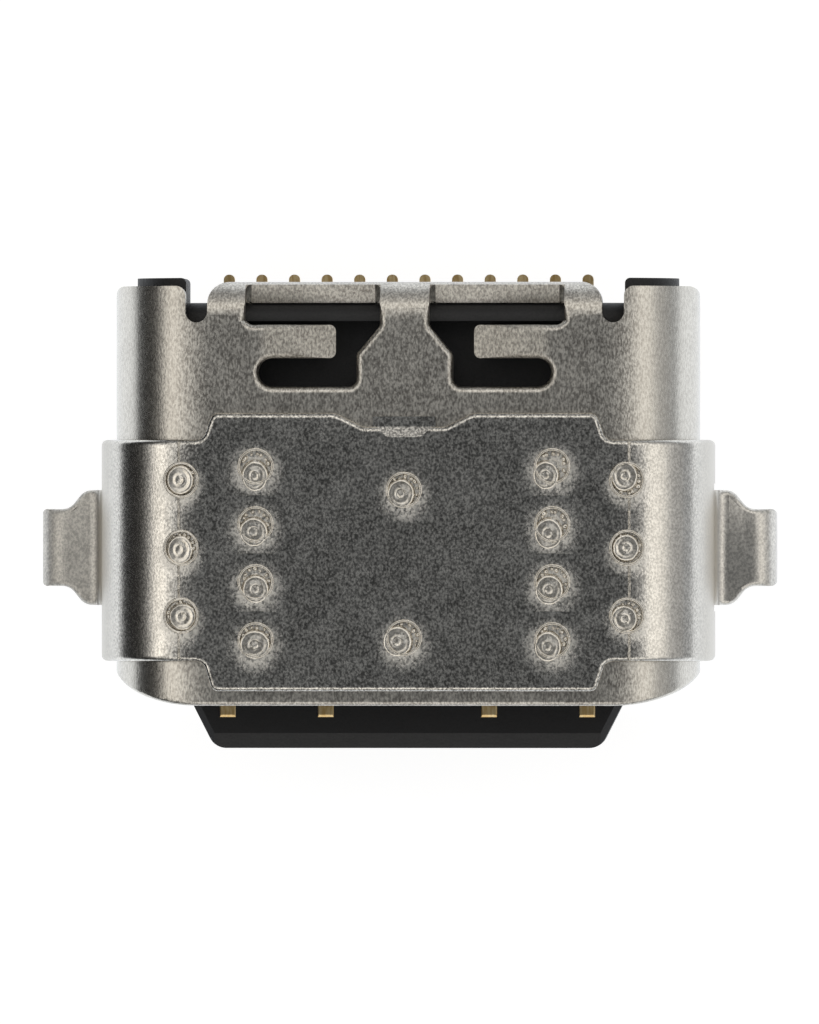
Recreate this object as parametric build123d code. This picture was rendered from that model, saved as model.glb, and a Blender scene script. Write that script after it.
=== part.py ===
from build123d import *
import os

os.makedirs("parts", exist_ok=True)

# Charging port that sits sunk in a notch of its circuit board.
# Millimetres. X runs across the plug opening, the plug comes in from -Y,
# Z is up and Z = 0 is the flat underside of the shell.
# Distances called behind_mouth are measured from the shell's mouth towards the rear.

# Opening for the plug, and the tongue inside it
socket_width = 8.34
socket_height = 2.56
socket_depth = 3.80
tongue_width = 6.69
tongue_thickness = 0.70
tongue_overhang = 0.66
tongue_tip_width = 5.90
tongue_taper_length = 0.78
tongue_tip_round = 0.28
tongue_tip_slope = 0.23
tongue_tip_drop = 0.12
tongue_side_bevel = 0.10
latch_notch_radius = 0.36
latch_notch_behind_tip = 2.30

# Inner shell, rolled from sheet
shell_sheet = 0.30
side_short_of_flap = 0.065
mouth_corner_width = 1.30
mouth_corner_overrun = 0.06
mouth_corner_depth = 0.72
rear_corner_round = 0.15
notch_width = 0.335
notch_depth = 0.56
flap_half_width = 3.01
flap_inner_bend = 0.30
flap_flat = 0.06
flap_above_tails = 0.24
flap_plan_round = 0.33
flap_plate_inset = 0.23
flap_corner_round = 0.30
board_step_behind_flange = 0.33
board_step_round = 0.20
seam_gap = 0.04
seam_key_reach = 0.60
seam_key_neck = 0.70
seam_key_head = 1.10
seam_key_behind_mouth = 2.20
mouth_edge_round = 0.08

# Windows in the rear of the shell, with a spring finger in each
neck_width = 0.75
window_width = 2.06
window_length = 1.003
finger_width = 0.508
finger_slot_width = 0.436
finger_length = 0.90
finger_root_margin = 0.01
finger_drop = 0.25
finger_corner_round = 0.10
window_step_from_neck = 0.36
window_step_length = 0.50
window_slope_length = 0.43
window_corner_round = 0.13
slot_outer_reach = 1.86
relief_width = 0.085
flap_cut_angle = 68.0
pocket_depth = 0.40

# Outer cover plate, welded on the shell, with its two board ears
cover_sheet = 0.20
cover_gap = 0.02
cover_inner_bend = 1.40
cover_foot = 1.00
cover_front_behind_mouth = 0.675
cover_length = 3.38
front_lap_length = 0.457
rear_lap_length = 0.407
lap_root_half_width = 3.07
lap_tip_half_width = 2.93
lap_root_round = 0.16
lap_tip_round = 0.13
dip_outer_half_width = 1.04
dip_inner_half_width = 0.62
dip_depth = 0.21
dip_outer_round = 0.30
dip_inner_round = 0.10
stub_width = 0.96
stub_length = 0.155
stub_thickness = 0.10
scoop_length = 0.16
scoop_mouth_half_width = 0.42
scoop_end_half_width = 0.26
scoop_round = 0.08
ear_centre_behind_mouth = 2.408
ear_root_width = 1.76
ear_tip_width = 1.18
ear_reach = 0.938
ear_inner_bend = 0.22
ear_start_drop = 0.01
ear_shoulder_from_tip = 0.43
ear_shoulder_length = 0.23
ear_shoulder_round = 0.24
ear_relief = 0.10
leg_tip_height = 0.35
leg_corner_round = 0.08
leg_tip_round = 0.35
cover_edge_round = 0.09

# Coined weld spots on the cover
spot_radius = 0.27
spot_nub_radius = 0.09
spot_depth = 0.04
side_spot_x = 3.40
side_spot_pitch = 1.033
inner_spot_x = 2.26
inner_spot_pitch = 0.883
inner_spot_behind_mouth = 2.325
middle_spot_pitch = 2.25
middle_spot_behind_mouth = 2.165

# Contacts: two rows of twelve strips
contacts_per_row = 12
contact_pitch = 0.50
contact_sheet = 0.12
contact_width = 0.30
contact_proud = 0.015
contact_bevel = 0.045
contact_tip_slope = 0.16
contact_tip_drop = 0.07
long_contact_setback = 0.35
short_contact_setback = 1.00
lead_width = 0.17
lead_bend = 0.12
tail_past_flap = 0.125
tail_land = 0.62
tail_tip_round = 0.08
pin_row_behind_step = 0.40
pin_row_spacing = 0.40
pin_tip_height = 0.45
pin_tip_bevel = 0.05

# Mouldings that hold the contacts
moulding_gap = 0.02
flap_gap = 0.02
board_gap = 0.03
flange_length = 0.72
root_side_gap = 0.47
root_block_height = 1.20
root_block_length = 0.80
carrier_split_above_seat = 0.29
shelf_behind_pins = 0.55
rear_wall_length = 0.345
corner_block_proud = 0.06
corner_block_inner_x = 3.35
corner_block_round = 0.08
lead_run_height_above_seat = 0.21

# Middle plate and the two ground collars
plate_thickness = 0.10
plate_inset = 0.30
plate_latch_length = 1.60
plate_rear_margin = 0.10
latch_plate_inset = 0.04
collar_sheet = 0.10
collar_length = 0.62
collar_split = 0.06
collar_rib_width = 0.90
collar_rib_pitch = 1.80
collar_rib_rise = 0.05
collar_rib_length = 0.30

# Lengths worked out from the sizes above, from the mouth towards the rear
flange_rear = socket_depth + flange_length
board_step = flange_rear + board_step_behind_flange
pin_row = board_step + pin_row_behind_step
shelf = pin_row + shelf_behind_pins
body_length = shelf + rear_wall_length
flap_reach = body_length + flap_gap + shell_sheet
tail_reach = flap_reach + tail_past_flap
overall_length = tongue_overhang + tail_reach

# Places worked out from the sizes and lengths above
mouth_y = tongue_overhang - overall_length / 2
tongue_tip_y = mouth_y - tongue_overhang
flange_y = mouth_y + socket_depth
flange_rear_y = mouth_y + flange_rear
root_y = flange_y - root_block_length
board_step_y = mouth_y + board_step
shelf_y = mouth_y + shelf
body_rear_y = mouth_y + body_length
flap_outer_y = mouth_y + flap_reach
tail_tip_y = mouth_y + tail_reach
side_rear_y = flap_outer_y - side_short_of_flap
flap_outer_bend = flap_inner_bend + shell_sheet
flap_bend_y = flap_outer_y - flap_outer_bend
flap_start_y = flap_bend_y - flap_flat
flap_plate_half = flap_half_width - flap_plate_inset
window_front_y = flap_bend_y - window_length
cover_front_y = mouth_y + cover_front_behind_mouth
cover_rear_y = cover_front_y + cover_length
rear_lap_y = cover_rear_y + rear_lap_length
dip_y = rear_lap_y - dip_depth
ear_y = mouth_y + ear_centre_behind_mouth
shell_width = socket_width + 2 * shell_sheet
shell_height = socket_height + 2 * shell_sheet
root_block_width = socket_width - 2 * root_side_gap
axis_z = shell_height / 2
notch_radius = notch_width / 2
flap_bend_z = shell_height - flap_outer_bend
cover_inner_half = shell_width / 2 + cover_gap
cover_outer_half = cover_inner_half + cover_sheet
cover_inner_top = shell_height + cover_gap
cover_top = cover_inner_top + cover_sheet
cover_outer_bend = cover_inner_bend + cover_sheet
cover_bend_x = cover_outer_half - cover_outer_bend
cover_bend_z = cover_top - cover_outer_bend
stub_top = cover_inner_top + stub_thickness
leg_outer_x = cover_outer_half + ear_reach
ear_middle_bend = ear_inner_bend + cover_sheet / 2
ear_middle_z = cover_bend_z - ear_start_drop - ear_middle_bend
seat_z = ear_middle_z - cover_sheet / 2
body_bottom_z = seat_z + board_gap
split_z = seat_z + carrier_split_above_seat
flap_low_z = seat_z + contact_sheet + flap_above_tails
tongue_top = axis_z + tongue_thickness / 2

# Play in comparing two places, and how far a cutter reaches past what it cuts
touch = 1e-4
overshoot = 1.0


def corners(points):
    """Face inside a closed outline: each point is (x, y, corner radius)."""
    places = [(x, y) for x, y, _ in points]
    radii = [radius for _, _, radius in points]
    return make_face(FilletPolyline(*places, radius=radii, close=True).edges())


def run_back(section, start_y, end_y):
    """Push a front-view section (X, Z) from start_y back to end_y."""
    return extrude(Plane.XZ.offset(-start_y) * section, amount=start_y - end_y)


def run_across(section, start_x, end_x):
    """Push a side-view section (Y, Z) from start_x across to end_x."""
    return extrude(Plane.YZ.offset(start_x) * section, amount=end_x - start_x)


def run_up(outline, low_z, high_z):
    """Push a plan outline (X, Y) from low_z up to high_z."""
    return extrude(Plane.XY.offset(low_z) * outline, amount=high_z - low_z)


def block(low, high):
    """Box between two corners."""
    size = [b - a for a, b in zip(low, high)]
    return Pos(*low) * Box(*size, align=(Align.MIN, Align.MIN, Align.MIN))


def both_sides(shape):
    """The shape with its mirror image on the other side of the middle plane."""
    return shape + mirror(shape, about=Plane.YZ)


def stadium(width, height):
    """Front-view section with full round sides, centred on the socket's axis."""
    return Pos(0, axis_z) * SlotOverall(width, height)


def rim_edges(surface_faces):
    """Edges that bound a group of faces, without the edges between two of them."""
    counts = []
    for edge in [edge for face in surface_faces for edge in face.edges()]:
        for entry in counts:
            if entry[0].is_same(edge):
                entry[1] += 1
                break
        else:
            counts.append([edge, 1])
    return [edge for edge, count in counts if count == 1]


def shell_plan():
    """Plan outline of the rolled tube, seen from above."""
    half = shell_width / 2
    length = side_rear_y - mouth_y
    plan = Pos(0, mouth_y + length / 2) * Rectangle(2 * half, length)
    corner_x = half - mouth_corner_width
    corner_y = mouth_y + mouth_corner_depth
    reach = mouth_corner_width + mouth_corner_overrun
    corner = Pos(corner_x, mouth_y) * Rectangle(reach, mouth_corner_depth, align=(Align.MIN, Align.MIN))
    corner -= Pos(corner_x, corner_y) * Ellipse(reach, mouth_corner_depth)
    plan -= corner + mirror(corner, about=Plane.YZ)
    round_y = side_rear_y - notch_depth + notch_radius
    outer_x = flap_half_width + notch_width
    plan -= Pos(0, round_y) * Rectangle(2 * outer_x, length, align=(Align.CENTER, Align.MIN))
    plan = fillet(plan.vertices().group_by(Axis.Y)[-1], rear_corner_round)
    for side in (-1, 1):
        plan -= Pos(side * (outer_x - notch_radius), round_y) * Circle(notch_radius)
    plan -= Pos(0, flap_start_y) * Rectangle(
        2 * flap_half_width, length, align=(Align.CENTER, Align.MIN)
    )
    return plan


def finger_root_x():
    """Where the right-hand finger leaves the sheet, just inside its slot's round end."""
    return neck_width / 2 + slot_outer_reach - finger_slot_width / 2 - finger_root_margin


def window_outline():
    """Right-hand window in plan, with the space that its finger is cut from."""
    neck_x = neck_width / 2
    front_y = window_front_y
    finger_y = front_y + finger_slot_width
    finger_rear_y = finger_y + finger_width
    slot_x = neck_x + slot_outer_reach
    root_x = finger_root_x()
    outer_x = neck_x + window_width
    step_x = neck_x + window_step_from_neck
    step_y = front_y + window_step_length
    slope_y = step_y + window_slope_length
    rear_y = flap_bend_y + flap_inner_bend / 2
    slot_end = finger_slot_width / 2 - touch
    return corners(
        [
            (step_x, front_y, window_corner_round),
            (slot_x, front_y, slot_end),
            (slot_x, finger_y, slot_end),
            (root_x, finger_y, 0),
            (root_x, finger_rear_y, 0),
            (outer_x, finger_rear_y, window_corner_round),
            (outer_x, rear_y, 0),
            (neck_x, rear_y, 0),
            (neck_x, slope_y, window_corner_round),
            (step_x, step_y, window_corner_round),
        ]
    )


def window_cutter():
    """Everything that one window takes out of the shell, round the rear bend too."""
    neck_x = neck_width / 2
    outer_x = neck_x + window_width
    sheet_bottom = shell_height - shell_sheet
    cutter = run_up(window_outline(), sheet_bottom - pocket_depth, shell_height + shell_sheet)
    along = Vector(0, 1).rotate(Axis.Z, -flap_cut_angle)
    reach = 2 * flap_outer_bend
    sweep = [(0, 0), (0, reach), (reach, reach), (reach * along.X, reach * along.Y)]
    wedge = make_face(Polyline(*sweep, close=True))
    cutter += run_across(Pos(flap_bend_y, flap_bend_z) * wedge, neck_x, outer_x)
    low_y = flap_bend_y + flap_inner_bend * along.X
    high_y = flap_bend_y + flap_outer_bend * along.X
    half_round = [
        (0, low_y, 0),
        (relief_width, low_y, relief_width - touch),
        (relief_width, high_y, relief_width - touch),
        (0, high_y, 0),
    ]
    relief = run_up(corners(half_round), flap_bend_z, shell_height + shell_sheet)
    cutter += Pos(outer_x - relief_width, 0) * relief
    cutter += Pos(neck_x + relief_width, 0) * mirror(relief, about=Plane.YZ)
    return cutter


def spring_finger():
    """Right-hand retaining finger, bent down into the moulding."""
    root_x = finger_root_x()
    tip_x = root_x - finger_length
    front_y = window_front_y + finger_slot_width
    middle_z = shell_height - shell_sheet / 2
    path = FilletPolyline(
        (root_x, middle_z),
        (root_x - finger_length / 4, middle_z),
        (tip_x, middle_z - finger_drop),
        radius=finger_length / 2,
    )
    finger = run_back(trace(path, shell_sheet), front_y, front_y + finger_width)
    tip_corners = finger.edges().filter_by(lambda e: abs(e.tangent_at(0.5).Z) > 0.9)
    return fillet(tip_corners.group_by(Axis.X)[0], finger_corner_round)


def rear_flap():
    """Plate that runs on from the top of the shell and folds down behind the moulding."""
    middle_z = shell_height - shell_sheet / 2
    middle_y = flap_outer_y - shell_sheet / 2
    path = FilletPolyline(
        (flap_start_y, middle_z),
        (middle_y, middle_z),
        (middle_y, flap_low_z),
        radius=flap_inner_bend + shell_sheet / 2,
    )
    plate = run_across(trace(path, shell_sheet), -flap_half_width, flap_half_width)
    plan = corners(
        [
            (-flap_half_width, flap_start_y, 0),
            (flap_half_width, flap_start_y, 0),
            (flap_half_width, flap_outer_y, flap_plan_round),
            (-flap_half_width, flap_outer_y, flap_plan_round),
        ]
    )
    plate &= run_up(plan, 0, shell_height)
    front = corners(
        [
            (-flap_plate_half, flap_low_z, flap_corner_round),
            (flap_plate_half, flap_low_z, flap_corner_round),
            (flap_plate_half, flap_bend_z, 0),
            (flap_half_width, flap_bend_z, 0),
            (flap_half_width, shell_height, 0),
            (-flap_half_width, shell_height, 0),
            (-flap_half_width, flap_bend_z, 0),
            (-flap_plate_half, flap_bend_z, 0),
        ]
    )
    return plate & run_back(front, flap_start_y, flap_outer_y)


def seam_cutter():
    """Thin gap of the rolled shell's butt seam, with its dovetail key."""
    key_y = mouth_y + seam_key_behind_mouth
    neck = seam_key_neck / 2
    head = seam_key_head / 2
    path = Polyline(
        (0, mouth_y - overshoot),
        (0, key_y - neck),
        (seam_key_reach, key_y - head),
        (seam_key_reach, key_y + head),
        (0, key_y + neck),
        (0, board_step_y + overshoot),
    )
    return run_up(trace(path, seam_gap), -overshoot, shell_sheet + overshoot)


def mouth_rims(shell):
    """Outer and inner edges of the plug opening."""
    limit = mouth_y + mouth_corner_depth + touch
    front = shell.edges().filter_by(lambda e: e.bounding_box().max.Y < limit)
    return [edge for edge in front if edge.length > shell_sheet + touch]


def make_shell():
    """Inner shell: rolled stadium tube, open to the board at the rear."""
    section = stadium(shell_width, shell_height) - stadium(socket_width, socket_height)
    shell = run_back(section, mouth_y, side_rear_y)
    shell &= run_up(shell_plan(), -overshoot, shell_height + overshoot)
    shell = fillet(mouth_rims(shell), mouth_edge_round)
    notch = corners(
        [
            (board_step_y, -overshoot, 0),
            (board_step_y, body_bottom_z, board_step_round),
            (tail_tip_y, body_bottom_z, 0),
            (tail_tip_y, -overshoot, 0),
        ]
    )
    shell -= run_across(notch, -shell_width, shell_width)
    shell += rear_flap()
    shell -= both_sides(window_cutter())
    shell += both_sides(spring_finger())
    shell -= seam_cutter()
    return shell


def cover_arch(width, height, bend, foot_z):
    """Front-view outline of the cover: flat top, round shoulders, straight sides."""
    half = width / 2
    return corners(
        [
            (-half, foot_z, 0),
            (half, foot_z, 0),
            (half, height, bend),
            (-half, height, bend),
        ]
    )


def cover_plan():
    """Plan outline of the cover with its laps and the dip at its rear edge."""
    front_lap_y = cover_front_y - front_lap_length
    right = [
        (lap_tip_half_width, front_lap_y, lap_tip_round),
        (lap_root_half_width, cover_front_y, lap_root_round),
        (cover_outer_half, cover_front_y, 0),
        (cover_outer_half, cover_rear_y, 0),
        (lap_root_half_width, cover_rear_y, lap_root_round),
        (lap_tip_half_width, rear_lap_y, lap_tip_round),
        (dip_outer_half_width, rear_lap_y, dip_outer_round),
        (dip_inner_half_width, dip_y, dip_inner_round),
    ]
    left = [(-x, y, radius) for x, y, radius in reversed(right)]
    return corners(right + left)


def ear():
    """Right-hand ear: folds out of the side wall, then down as a leg."""
    wall_x = cover_outer_half - cover_sheet / 2
    leg_x = leg_outer_x - cover_sheet / 2
    root = ear_root_width / 2
    path = FilletPolyline(
        (wall_x, cover_bend_z),
        (wall_x, ear_middle_z),
        (leg_x, ear_middle_z),
        (leg_x, leg_tip_height),
        radius=ear_middle_bend,
    )
    strip = run_back(trace(path, cover_sheet), ear_y - root, ear_y + root)
    tip = ear_tip_width / 2
    narrow_x = leg_outer_x - ear_shoulder_from_tip
    wide_x = narrow_x - ear_shoulder_length
    plan = corners(
        [
            (wall_x - overshoot, -root, 0),
            (wide_x, -root, ear_shoulder_round),
            (narrow_x, -tip, ear_shoulder_round),
            (leg_outer_x, -tip, leg_corner_round),
            (leg_outer_x, tip, leg_corner_round),
            (narrow_x, tip, ear_shoulder_round),
            (wide_x, root, ear_shoulder_round),
            (wall_x - overshoot, root, 0),
        ]
    )
    strip &= run_up(Pos(0, ear_y) * plan, 0, cover_top)
    side = corners(
        [
            (-tip, leg_tip_height, leg_tip_round),
            (tip, leg_tip_height, leg_tip_round),
            (tip, seat_z, 0),
            (root + overshoot, seat_z, 0),
            (root + overshoot, cover_top, 0),
            (-root - overshoot, cover_top, 0),
            (-root - overshoot, seat_z, 0),
            (-tip, seat_z, 0),
        ]
    )
    return strip & run_across(Pos(ear_y, 0) * side, 0, leg_outer_x)


def spot_places():
    """Middle of each weld spot: (x, y) in plan."""
    inner_y = mouth_y + inner_spot_behind_mouth
    middle_y = mouth_y + middle_spot_behind_mouth
    places = [(0, middle_y + step * middle_spot_pitch) for step in (-0.5, 0.5)]
    for side in (-1, 1):
        places += [(side * side_spot_x, ear_y + step * side_spot_pitch) for step in (-1, 0, 1)]
        steps = (-1.5, -0.5, 0.5, 1.5)
        places += [(side * inner_spot_x, inner_y + step * inner_spot_pitch) for step in steps]
    return places


def spot_cutter():
    """Ring-shaped coin mark round a small nub, cut from a surface at Z = 0."""
    ring = Circle(spot_radius) - Circle(spot_nub_radius)
    return run_up(ring, -spot_depth, spot_radius)


def degrees_of(sine):
    """Angle in degrees whose sine is given."""
    return Vector(0, 1).get_angle(Vector(sine, (1 - sine**2) ** 0.5))


def carrier_stub():
    """Thin stub in the dip, where the blank was cut off its carrier strip."""
    half = stub_width / 2
    low = (-half, dip_y - stub_thickness, cover_inner_top)
    return block(low, (half, dip_y + stub_length, stub_top))


def scoop_cutter():
    """Coined slope that runs down from the cover's top to the stub."""
    end_y = dip_y - scoop_length
    plan = corners(
        [
            (-scoop_end_half_width, end_y, scoop_round),
            (scoop_end_half_width, end_y, scoop_round),
            (scoop_mouth_half_width, dip_y, 0),
            (scoop_mouth_half_width, dip_y + stub_length, 0),
            (-scoop_mouth_half_width, dip_y + stub_length, 0),
            (-scoop_mouth_half_width, dip_y, 0),
        ]
    )
    side = make_face(
        Polyline(
            (end_y, cover_top),
            (dip_y, stub_top),
            (dip_y + stub_length, stub_top),
            (dip_y + stub_length, cover_top + overshoot),
            (end_y, cover_top + overshoot),
            close=True,
        )
    )
    return run_up(plan, 0, cover_top + overshoot) & run_across(side, -stub_width, stub_width)


def make_cover():
    """Outer cover plate with laps, ears and coined weld spots."""
    outer = cover_arch(2 * cover_outer_half, cover_top, cover_outer_bend, cover_foot)
    inner = cover_arch(2 * cover_inner_half, cover_inner_top, cover_inner_bend, cover_foot - overshoot)
    cover = run_back(outer - inner, mouth_y, side_rear_y)
    cover &= run_up(cover_plan(), 0, cover_top + overshoot)
    surface = []
    for face in cover.faces():
        middle = face.center()
        on_top = abs(middle.Z - cover_top) < touch
        on_side = abs(abs(middle.X) - cover_outer_half) < touch
        on_bend = face.geom_type == GeomType.CYLINDER and abs(face.radius - cover_outer_bend) < touch
        if on_top or on_side or on_bend:
            surface.append(face)
    cover = fillet(rim_edges(surface), cover_edge_round)
    cover += carrier_stub()
    cover -= scoop_cutter()
    slot = ear_root_width / 2 + ear_relief
    low = (cover_inner_half - cover_gap, ear_y - slot, 0)
    high = (cover_outer_half + cover_gap, ear_y + slot, cover_bend_z)
    cover -= both_sides(block(low, high))
    cover += both_sides(ear())
    for x, y in spot_places():
        over = max(abs(x) - cover_bend_x, 0)
        tilt = degrees_of(over / cover_outer_bend)
        height = cover_top - cover_outer_bend * (1 - (1 - (over / cover_outer_bend) ** 2) ** 0.5)
        turn = tilt if x > 0 else -tilt
        cover -= Pos(x, y, height) * Rot(0, turn, 0) * spot_cutter()
    return cover


def tongue_plan(rear_y, inset=0.0):
    """Plan outline of the tongue back to rear_y, narrowed all round by an inset."""
    half = tongue_width / 2 - inset
    tip = tongue_tip_width / 2 - inset
    front_y = tongue_tip_y + inset
    taper_y = tongue_tip_y + tongue_taper_length
    return corners(
        [
            (-tip, front_y, tongue_tip_round),
            (tip, front_y, tongue_tip_round),
            (half, taper_y, 0),
            (half, rear_y, 0),
            (-half, rear_y, 0),
            (-half, taper_y, 0),
        ]
    )


def latch_notches(radius):
    """Round notches in both sides of the tongue, where the plug's latches click in."""
    y = tongue_tip_y + latch_notch_behind_tip
    notch = Pos(tongue_width / 2, y) * Circle(radius)
    return run_up(notch + mirror(notch, about=Plane.YZ), axis_z - overshoot, axis_z + overshoot)


def make_tongue_moulding(inserts):
    """Tongue, its thick root and the flange that closes the shell behind the socket."""
    half = tongue_thickness / 2
    tongue = run_up(tongue_plan(root_y), axis_z - half, axis_z + half)
    level_edges = tongue.edges().filter_by(lambda e: abs(e.tangent_at(0.5).Z) < touch)
    side_edges = [e for e in level_edges if abs(e.tangent_at(0.5).X) < 0.9]
    tongue = chamfer(side_edges, tongue_side_bevel)
    wedge = corners(
        [
            (tongue_tip_y - overshoot, tongue_top - tongue_tip_drop, 0),
            (tongue_tip_y, tongue_top - tongue_tip_drop, 0),
            (tongue_tip_y + tongue_tip_slope, tongue_top, 0),
            (tongue_tip_y + tongue_tip_slope, tongue_top + overshoot, 0),
            (tongue_tip_y - overshoot, tongue_top + overshoot, 0),
        ]
    )
    cutter = run_across(wedge, -tongue_width, tongue_width)
    tongue -= cutter
    tongue -= mirror(cutter, about=Plane.XY.offset(axis_z))
    tongue -= latch_notches(latch_notch_radius)
    root = Pos(0, axis_z) * Rectangle(root_block_width, root_block_height)
    tongue += run_back(root, root_y, flange_y)
    flange = stadium(socket_width - 2 * moulding_gap, socket_height - 2 * moulding_gap)
    tongue += run_back(flange, flange_y, flange_rear_y)
    for insert in inserts:
        tongue -= insert
    return tongue


def body_section():
    """Front-view section of the rear body inside the shell."""
    return stadium(socket_width - 2 * moulding_gap, socket_height - 2 * moulding_gap)


def band(low_z, high_z, half_width):
    """Front-view rectangle between two heights."""
    middle = (low_z + high_z) / 2
    return Pos(0, middle) * Rectangle(2 * half_width, high_z - low_z)


def make_upper_carrier(inserts):
    """Upper contact carrier: fills the shell behind the flange, with two corner blocks."""
    section = body_section()
    wide = shell_width
    above_split = section & band(split_z, shell_height, wide)
    above_seat = section & band(body_bottom_z, shell_height, wide)
    rear_wall = run_back(above_seat, flange_rear_y, body_rear_y)
    top_edges = rear_wall.edges().filter_by(Axis.X).group_by(Axis.Z)[-1]
    rear_wall = fillet(top_edges.sort_by(Axis.Y)[-1], flap_inner_bend)
    main = run_back(above_split, flange_rear_y, shelf_y)
    main += rear_wall & block((-wide, shelf_y, 0), (wide, tail_tip_y, shell_height))
    block_rear_y = flap_outer_y + corner_block_proud
    corner = above_seat & Pos(corner_block_inner_x, 0) * Rectangle(
        wide, 2 * shell_height, align=(Align.MIN, Align.CENTER)
    )
    corner = run_back(corner, shelf_y, block_rear_y)
    uprights = corner.edges().filter_by(Axis.Z).group_by(Axis.Y)[-1]
    corner = fillet(uprights, corner_block_round)
    carrier = main + both_sides(corner)
    neck_x = neck_width / 2
    low = (neck_x, window_front_y, shell_height - shell_sheet - pocket_depth)
    high = (neck_x + window_width, flap_bend_y, shell_height)
    carrier -= both_sides(block(low, high))
    for insert in inserts:
        carrier -= insert
    return carrier


def make_lower_carrier(inserts):
    """Lower contact carrier: closes the shell's lower half and reaches over the board."""
    section = body_section()
    wide = shell_width
    below_split = section & band(0, split_z, wide)
    over_board = section & band(body_bottom_z, split_z, wide)
    front_end = board_step_y - moulding_gap
    carrier = run_back(below_split, flange_rear_y, front_end)
    carrier += run_back(over_board, front_end, shelf_y)
    for insert in inserts:
        carrier -= insert
    return carrier


def contact_strip(setback):
    """Bare end of an upper contact, flat on the tongue, with bevelled borders."""
    start_y = tongue_tip_y + setback
    top = tongue_top + contact_proud
    bottom = top - contact_sheet
    half = contact_width / 2
    bevel = contact_bevel
    section = make_face(
        Polyline(
            (-half, bottom),
            (half, bottom),
            (half, top - bevel),
            (half - bevel, top),
            (bevel - half, top),
            (-half, top - bevel),
            close=True,
        )
    )
    side = make_face(
        Polyline(
            (start_y, bottom),
            (start_y, top - contact_tip_drop),
            (start_y + contact_tip_slope, top),
            (flange_y, top),
            (flange_y, bottom),
            close=True,
        )
    )
    return run_back(section, start_y, flange_y) & run_across(side, -half, half)


def contact_lead(points):
    """Hidden part of a contact: a bent strip along the given (Y, Z) points."""
    path = FilletPolyline(*points, radius=lead_bend)
    return run_across(trace(path, contact_sheet), -lead_width / 2, lead_width / 2)


def upper_contact(setback):
    """Upper contact: tongue strip, run through the carrier, flat tail on the board."""
    run_z = tongue_top + contact_proud - contact_sheet / 2
    tail_z = seat_z + contact_sheet / 2
    land_y = tail_tip_y - tail_land
    lead = contact_lead(
        [
            (flange_y, run_z),
            (land_y - contact_sheet, run_z),
            (land_y, tail_z),
            (tail_tip_y, tail_z),
        ]
    )
    tip = lead.edges().filter_by(Axis.Z).group_by(Axis.Y)[-1]
    lead = fillet(tip, tail_tip_round)
    return contact_strip(setback) + lead


def lower_contact(setback, pin_y):
    """Lower contact: tongue strip, step up over the board's edge, pin down through it."""
    strip = mirror(contact_strip(setback), about=Plane.XY.offset(axis_z))
    run_z = 2 * axis_z - tongue_top - contact_proud + contact_sheet / 2
    over_z = seat_z + lead_run_height_above_seat
    rise_y = flange_rear_y + contact_sheet / 2
    lead = contact_lead(
        [
            (flange_y, run_z),
            (rise_y, run_z),
            (rise_y + contact_sheet, over_z),
            (pin_y, over_z),
            (pin_y, pin_tip_height),
        ]
    )
    tip = lead.edges().filter_by(Axis.Y).group_by(Axis.Z)[0]
    lead = chamfer(tip, pin_tip_bevel)
    return strip + lead


def is_long(place):
    """Power and ground contacts reach nearer the tip and touch the plug first."""
    return place in (0, 3, contacts_per_row - 4, contacts_per_row - 1)


def make_middle_plate():
    """Flat plate in the middle of the tongue that takes the wear of the plug's latches."""
    half = plate_thickness / 2
    latch_y = tongue_tip_y + latch_notch_behind_tip
    sides = Pos(0, latch_y) * Rectangle(tongue_width, plate_latch_length)
    plan = tongue_plan(flange_rear_y - plate_rear_margin, plate_inset) + sides
    plate = run_up(plan, axis_z - half, axis_z + half)
    return plate - latch_notches(latch_notch_radius - latch_plate_inset)


def make_upper_collar():
    """Ground collar over the upper half of the tongue's root, with raised ribs."""
    half_width = root_block_width / 2
    top = axis_z + root_block_height / 2
    bottom = axis_z + collar_split / 2
    outer = corners(
        [
            (-half_width - collar_sheet, bottom, 0),
            (half_width + collar_sheet, bottom, 0),
            (half_width + collar_sheet, top + collar_sheet, 2 * collar_sheet),
            (-half_width - collar_sheet, top + collar_sheet, 2 * collar_sheet),
        ]
    )
    inner = Pos(0, axis_z) * Rectangle(root_block_width, root_block_height)
    collar = run_back(outer - inner, root_y, root_y + collar_length)
    rib_y = root_y + collar_length / 2 - collar_rib_length / 2
    for step in (-1, 0, 1):
        x = step * collar_rib_pitch
        low = (x - collar_rib_width / 2, rib_y, top + collar_sheet / 2)
        high_z = top + collar_sheet + collar_rib_rise
        collar += block(low, (x + collar_rib_width / 2, rib_y + collar_rib_length, high_z))
    return collar


def save(shape, node):
    """Write one node's STEP file."""
    export_step(shape, f"parts/{node}.step")


upper_row = []
lower_row = []
for place in range(contacts_per_row):
    x = (place - (contacts_per_row - 1) / 2) * contact_pitch
    setback = long_contact_setback if is_long(place) else short_contact_setback
    pin_y = mouth_y + pin_row + (place % 2 - 0.5) * pin_row_spacing
    upper_row.append(Pos(x, 0, 0) * upper_contact(setback))
    lower_row.append(Pos(x, 0, 0) * lower_contact(setback, pin_y))

middle_plate = make_middle_plate()
upper_collar = make_upper_collar()
lower_collar = mirror(upper_collar, about=Plane.XY.offset(axis_z))

save(make_shell(), "inner_shell")
save(make_cover(), "outer_cover")
save(make_tongue_moulding(upper_row + lower_row + [middle_plate]), "tongue_moulding")
save(make_upper_carrier(upper_row), "upper_contact_carrier")
save(make_lower_carrier(lower_row), "lower_contact_carrier")
save(middle_plate, "middle_plate")
save(upper_collar, "upper_ground_collar")
save(lower_collar, "lower_ground_collar")
for place in range(contacts_per_row):
    save(upper_row[place], f"upper_contact_{place + 1:02d}")
    save(lower_row[place], f"lower_contact_{place + 1:02d}")
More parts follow.
